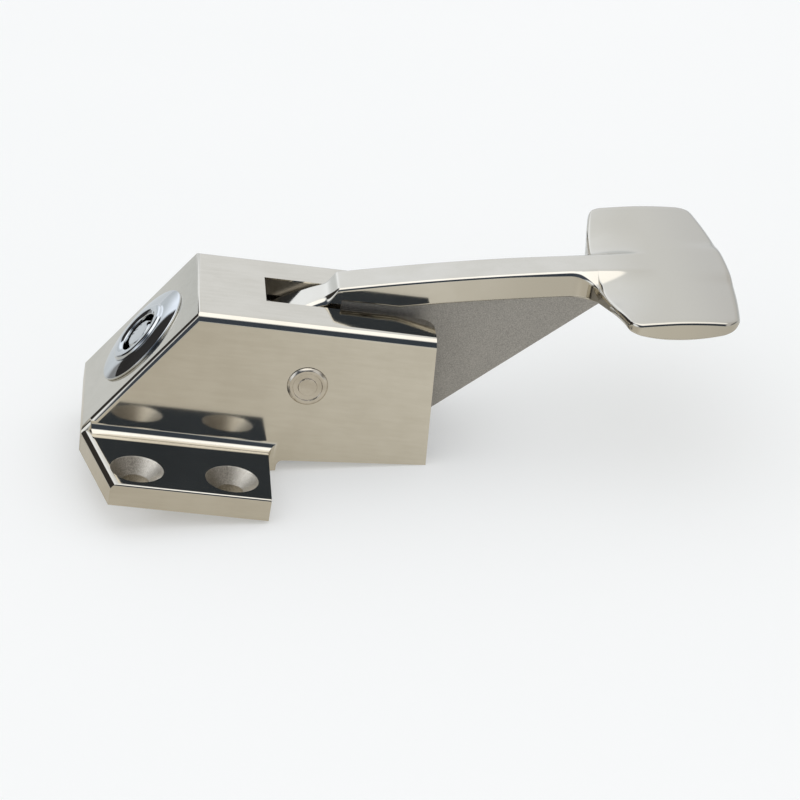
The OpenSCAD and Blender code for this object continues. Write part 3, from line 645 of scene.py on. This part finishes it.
def metal(name, paint):
    """A metal material; paint is a function that gets the shader and returns colour, roughness, bump height
    and the bump's strength."""
    material = bpy.data.materials.new(name)
    material.use_nodes = True
    s = Shader(material.node_tree)
    colour, rough, height, strength = paint(s)
    bump = s.node("ShaderNodeBump", Strength=strength, Distance=0.1 * MM, Height=height, Normal=s.normal())
    shaded = s.node("ShaderNodeBsdfPrincipled", Base_Color=colour, Metallic=1.0, Roughness=rough,
                    Normal=bump)
    s.node("ShaderNodeOutputMaterial", Surface=shaded)
    return material


def polished_casting(s):
    """Warm polished stainless steel, smoothest on the flange, blasted in the countersinks with painted shade
    towards
    -x and painted light towards +x, and rough as cast inside, where the slot and cavity are darkened with
    painted shade."""
    x, y, z = s.place()
    cloud = s.noise(0.09)
    grain = s.noise(1.1, 4.0, 0.6, (0.06, 1.0, 1.0))
    speck = s.noise(4.5, 3.0, 0.7)
    brushed = 0.6 * cloud + 0.4 * s.noise(0.9, 4.0, 0.65, (0.12, 1.0, 1.0))

    hole = ((abs(x) - SCREW_X) ** 2.0 + (y - SCREW_Y) ** 2.0) ** 0.5
    blasted = (hole < SINK_R) * (z < SINK_TOP) * (z > UNDERSIDE)
    deep = (x - FRONT_X) * math.sin(SLOPE) - (z - FLANGE_T) * math.cos(SLOPE)
    inside = (abs(y) < CAVITY_HALF) * (z < CAVITY_TOP) * (deep > SLOPE_T) * (z > UNDERSIDE)
    flange = (y < FLANGE_SIDE) * (z < FLANGE_TOP)
    slot = (abs(y) < SLOT_HALF) * (x > SLOT_X) * (z < SLOT_TOP)
    s.lean = s.sideways().step(0.985, 0.997) * (z > WALLS_FROM) * WALL_LEAN

    # Across each countersink, over the blasted speckle: painted shade towards -x, painted light towards +x.
    along = x - SCREW_X * x.sign()
    warm = s.mottle(brushed, (0.62, 0.58, 0.50, 1), (0.67, 0.63, 0.55, 1), 0.15)
    painted_sink_shade = s.mottle(speck, (0.18, 0.16, 0.132, 1), (0.35, 0.32, 0.27, 1), 0.15)
    painted_sink_light = s.mottle(speck, (0.76, 0.71, 0.61, 1), (1.0, 0.95, 0.86, 1), 0.15)
    colour = s.mix(blasted, warm, s.mix(along.step(-1.0, 4.2), painted_sink_shade, painted_sink_light))
    # Slot walls and cavity: speckled as-cast grain, darkened with painted shade of the recess.
    colour = s.mix(slot, colour, s.mix(speck, (0.20, 0.18, 0.145, 1), (0.36, 0.33, 0.28, 1)))
    colour = s.mix(inside, colour, s.mix(speck, (0.16, 0.145, 0.12, 1), (0.34, 0.31, 0.27, 1)))
    rough = 0.05 + 0.03 * cloud + 0.03 * grain - 0.03 * flange
    rough = rough + blasted * 0.45 + inside * 0.4 + slot * 0.25
    height = 0.2 * grain + blasted * speck * 4.0 + inside * speck * 3.0
    return colour, rough, height, 0.08


def polished_arm(s):
    """The lever's polished skin: fine polishing lines along the arm and faint clouding, painted shade on the
    arm's sides towards the neck, a colour that darkens over the paddle towards its back, and darker and
    rougher inside the housing."""
    x, _, z = s.place()
    cloud = s.noise(0.11)
    grain = s.noise(1.3, 4.0, 0.6, (0.05, 1.0, 1.0))
    hidden = (z < 27.5) * (x < 40.0)
    # Painted shade: the arm's sides towards the neck get a darker colour than its top.
    side = s.sideways().step(0.9, 0.98) * x.step(45.0, 78.0) * (x < 84.0)
    warm = s.mottle(cloud, (0.635, 0.60, 0.525, 1), (0.675, 0.64, 0.57, 1))
    # Over the paddle the colour darkens towards its back.
    darker_paddle = s.mix(x.step(96.0, 112.0), (0.565, 0.53, 0.455, 1), (0.50, 0.47, 0.41, 1))
    colour = s.mix(x.step(80.0, 96.0), warm, darker_paddle)
    colour = s.mix(side, colour, (0.54, 0.505, 0.435, 1))
    colour = s.mix(hidden, colour, (0.42, 0.405, 0.37, 1))
    rough = 0.05 + 0.04 * cloud + 0.04 * grain + 0.3 * hidden
    return colour, rough, 0.2 * grain, 0.07


def rough_cast(s):
    """As-cast web: grey, with the sandy grain of the mould."""
    s.place()
    sand = s.noise(4.2, 4.0, 0.75)
    cloud = s.noise(0.18)
    colour = s.mottle(sand, (0.32, 0.31, 0.295, 1), (0.57, 0.55, 0.525, 1))
    return colour, 0.46 + 0.14 * cloud, sand, 0.6


def bright_chrome(s):
    """Cool bright chrome plate with the faintest haze."""
    s.place()
    haze = s.noise(0.25)
    colour = s.mottle(haze, (0.60, 0.62, 0.63, 1), (0.65, 0.67, 0.68, 1))
    return colour, 0.02 + 0.03 * haze, s.noise(2.5), 0.008


def turned_steel(s):
    """Turned steel: rings from the tool, round the pivot's axis."""
    x, _, z = s.place()
    r = ((x - PIVOT[0]) ** 2.0 + (z - PIVOT[2]) ** 2.0) ** 0.5
    rings = s.node("ShaderNodeTexNoise", {"noise_dimensions": "1D"}, W=r, Scale=6.0, Detail=3.0)
    colour = s.mottle(s.noise(0.3), (0.57, 0.52, 0.44, 1), (0.66, 0.61, 0.53, 1))
    return colour, 0.14 + 0.10 * rings, rings, 0.12


def brass(s):
    """Machined brass, slightly tarnished."""
    s.place()
    cloud = s.noise(0.5, 4.0)
    colour = s.mottle(cloud, (0.55, 0.40, 0.16, 1), (0.70, 0.54, 0.25, 1))
    return colour, 0.22 + 0.15 * cloud, s.noise(4.0), 0.08


def drawn_wire(s):
    """Drawn spring wire: dark and slightly clouded."""
    s.place()
    cloud = s.noise(0.8, 4.0)
    colour = s.mottle(cloud, (0.26, 0.26, 0.27, 1), (0.38, 0.38, 0.39, 1))
    return colour, 0.24 + 0.14 * cloud, s.noise(6.0), 0.08


def zinc_plate(s):
    """Zinc-plated steel with its cloudy bloom."""
    s.place()
    bloom = s.noise(0.6, 4.0, 0.65)
    colour = s.mottle(bloom, (0.48, 0.49, 0.47, 1), (0.62, 0.62, 0.58, 1))
    return colour, 0.24 + 0.16 * bloom, bloom, 0.06


casting = metal("polished_casting", polished_casting)
arm = metal("polished_arm", polished_arm)
cast = metal("rough_cast", rough_cast)
chrome = metal("bright_chrome", bright_chrome)
steel = metal("turned_steel", turned_steel)
yellow = metal("brass", brass)
wire = metal("drawn_wire", drawn_wire)
zinc = metal("zinc_plate", zinc_plate)


def dress(obj, material, body):
    """Gives a piece its material, and the body that it moves with."""
    obj.data.materials.clear()
    obj.data.materials.append(material)
    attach(obj, body)


def soften(node):
    """Rounds the edges of a carried-over node, or smooths it if it is a spring, with modifiers only."""
    weld = node.modifiers.new("joined", "WELD")
    weld.merge_threshold = JOIN * MM
    if "spring" in node.name:
        curve = node.modifiers.new("round", "SUBSURF")
        curve.levels = curve.render_levels = 1
    else:
        bevel(node, 0.1, 2)


# Housing and pivot pin: the CAD shapes with rounded edges
dress(bevel(merged_copy("housing", "latch_housing", 0.05), 0.2), casting, "case")
dress(bevel(merged_copy("pivot_pin", "pin"), 0.12), steel, "case")

# Lever: its skin, and what is cast with it under the arm
skin = lever_skin()
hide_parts("lever")
dress(skin, arm, "lever")
for piece in (bevel(plate("lever_web", web_outline(), WEB_HALF), 0.7),
              turned("lever_hub", HUB_BORE_R, HUB_R, HUB_HALF, 0.5),
              turned("spring_lug", 0.02, LUG_R, LUG_HALF, 0.3, LUG_AT, 48),
              bevel(plate("lock_tooth", tooth_outline(), WEB_HALF), 0.2),
              bevel(plate("stop_lug", stop_outline(), WEB_HALF), 0.2)):
    dress(piece, cast, "lever")

# Lock head and barrel
head = lock_head()
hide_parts("lock_shell")
dress(head, chrome, "case")

# Nodes that keep their CAD shape, with their finish
CAD_LOOKS = {
    "lock_spindle": chrome, "lock_nut": chrome,
    "front_pin_block": yellow, "rear_pin_block": yellow, "block_dowel": steel,
    "bush_near": yellow, "bush_far": yellow,
    "spring_near": wire, "spring_far": wire,
    "lock_cam": zinc, "cam_washer": zinc, "cam_nut": zinc,
}
for i in range(1, TUMBLERS + 1):
    CAD_LOOKS["key_pin_%d" % i] = yellow
    CAD_LOOKS["driver_pin_%d" % i] = steel
    CAD_LOOKS["pin_spring_%d" % i] = wire
for name, material in CAD_LOOKS.items():
    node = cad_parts[name]
    node.data.materials.clear()
    node.data.materials.append(material)
    soften(node)


def floor():
    """A wide pale floor under the two contact lines. Polished metal sees it warm in front and cool behind,
    with a dark patch on the left."""
    mesh = bpy.data.meshes.new("floor")
    turn = Matrix.Rotation(-FLOOR_LEAN, 4, "Y")
    at = Vector((FLANGE_END_X, 0.0, 0.0)) * MM
    corners = [(-1, -1, 0), (1, -1, 0), (1, 1, 0), (-1, 1, 0)]
    mesh.from_pydata([at + turn @ (FLOOR_HALF * Vector(c)) for c in corners], [], [(0, 1, 2, 3)])
    obj = bpy.data.objects.new("floor", mesh)
    bpy.context.scene.collection.objects.link(obj)
    material = bpy.data.materials.new("floor")
    material.use_nodes = True
    s = Shader(material.node_tree)
    x, y, _ = s.place()
    glossy, seen = s.ray("Is Glossy Ray"), s.ray("Is Camera Ray")
    tone = s.mottle(s.noise(0.004, 2.0), PALE, (0.945, 0.955, 0.96, 1))
    warm = s.mix(x.step(-20.0, 75.0), (0.49, 0.445, 0.35, 1), (0.70, 0.675, 0.60, 1))
    mirrored = s.mix(y.step(-30.0, 120.0), warm, (0.63, 0.67, 0.70, 1))
    patch = (-0.58 * y - x).step(10.0, 40.0) * y.step(60.0, 100.0)
    mirrored = s.mix(patch, mirrored, (0.05, 0.045, 0.04, 1))
    lit = s.node("ShaderNodeBsdfPrincipled", Base_Color=tone, Roughness=0.9)
    plain = s.node("ShaderNodeBsdfPrincipled", Base_Color=(0, 0, 0, 1), Roughness=1.0,
                   Emission_Color=s.mix(glossy, PALE, mirrored), Emission_Strength=1.0)
    both = s.node("ShaderNodeMixShader", _0=glossy * 0.75 + seen * 0.3, _1=lit, _2=plain)
    s.node("ShaderNodeOutputMaterial", Surface=both)
    mesh.materials.append(material)


def sky():
    """A bright room: even white light for the floor. Reflections see a pale room, brighter on the left, with
    a soft box overhead and three dark sides: behind the camera, on the left behind the part, and low on the
    right."""
    world = bpy.data.worlds.new("room")
    bpy.context.scene.world = world
    world.use_nodes = True
    s = Shader(world.node_tree)
    way = s.node("ShaderNodeTexCoord", out="Generated")
    x, y, z = s.split(s.node("ShaderNodeVectorRotate", {"rotation_type": "Y_AXIS"}, Vector=way, Angle=TIP))
    front = (-y).step(-0.15, 0.25)
    facing = x.step(-0.85, -0.6) * (1.0 - x.step(0.3, 0.55))
    dark_side = front * facing * z.step(0.02, 0.09) * (1.0 - z.step(0.79, 0.88))
    left = (-0.56 * y - x).step(0.0, 0.04) * y.step(-0.2, 0.1)
    left_side = left * z.step(-0.06, -0.03) * (1.0 - z.step(0.7, 0.82))
    right_side = x.step(0.78, 0.92) * z.step(0.05, 0.2) * (1.0 - z.step(0.5, 0.7))
    soft_box = z.step(0.84, 0.91)
    shade = s.mix(x.step(-0.35, 0.15), (1.18, 1.25, 1.36, 1), (0.93, 0.97, 1.03, 1))
    shade = s.mix(x.step(0.2, 0.5), shade, (0.80, 0.81, 0.83, 1))
    shade = s.mix(z.step(0.02, 0.25), (0.64, 0.68, 0.71, 1), shade)
    shade = s.mix(right_side * 0.8, shade, (0.06, 0.055, 0.05, 1))
    shade = s.mix(dark_side * 0.96, shade, (0.016, 0.03, 0.055, 1))
    shade = s.mix(left_side * 0.99, shade, (0.03, 0.027, 0.025, 1))
    shade = s.mix(soft_box, shade, (1.6, 1.62, 1.65, 1))
    white = s.mix(s.ray("Is Camera Ray"), (1.0, 1.0, 1.0, 1), PALE)
    colour = s.mix(s.ray("Is Glossy Ray"), white, shade)
    light = s.node("ShaderNodeBackground", Color=colour, Strength=1.0)
    s.node("ShaderNodeOutputWorld", Surface=light)


def camera():
    """The camera, turned by its heading, tilt and roll, and then by the part's tip, so that the part's frame
    stays upright."""
    above = Vector((0.0, 0.0, 1.0))
    right = Vector((math.cos(HEADING), -math.sin(HEADING), 0.0))
    ahead = Vector((math.sin(HEADING), math.cos(HEADING), 0.0))
    into = ahead * math.cos(TILT) - above * math.sin(TILT)
    up = ahead * math.sin(TILT) + above * math.cos(TILT)
    right, up = right * math.cos(ROLL) + up * math.sin(ROLL), up * math.cos(ROLL) - right * math.sin(ROLL)
    at = -(right * ORIGIN_RIGHT + up * ORIGIN_UP + into * ORIGIN_AWAY) * MM
    untip = Matrix(((math.cos(TIP), 0, -math.sin(TIP)), (0, 1, 0), (math.sin(TIP), 0, math.cos(TIP))))
    cam = bpy.data.cameras.new("camera")
    cam.sensor_width = SENSOR
    cam.lens = SENSOR * FOCAL_PIXELS / FRAME_PIXELS
    cam.clip_start, cam.clip_end = 0.01, 20.0
    obj = bpy.data.objects.new("camera", cam)
    axes = [untip @ v for v in (right, up, -into)]
    middle = Vector((0.0, MIDDLE * MM, 0.0))
    obj.matrix_world = Matrix.Translation(untip @ at + middle) @ Matrix(axes).transposed().to_4x4()
    bpy.context.scene.collection.objects.link(obj)
    bpy.context.scene.camera = obj


floor()
sky()
camera()
bpy.context.scene.view_settings.view_transform = "Standard"
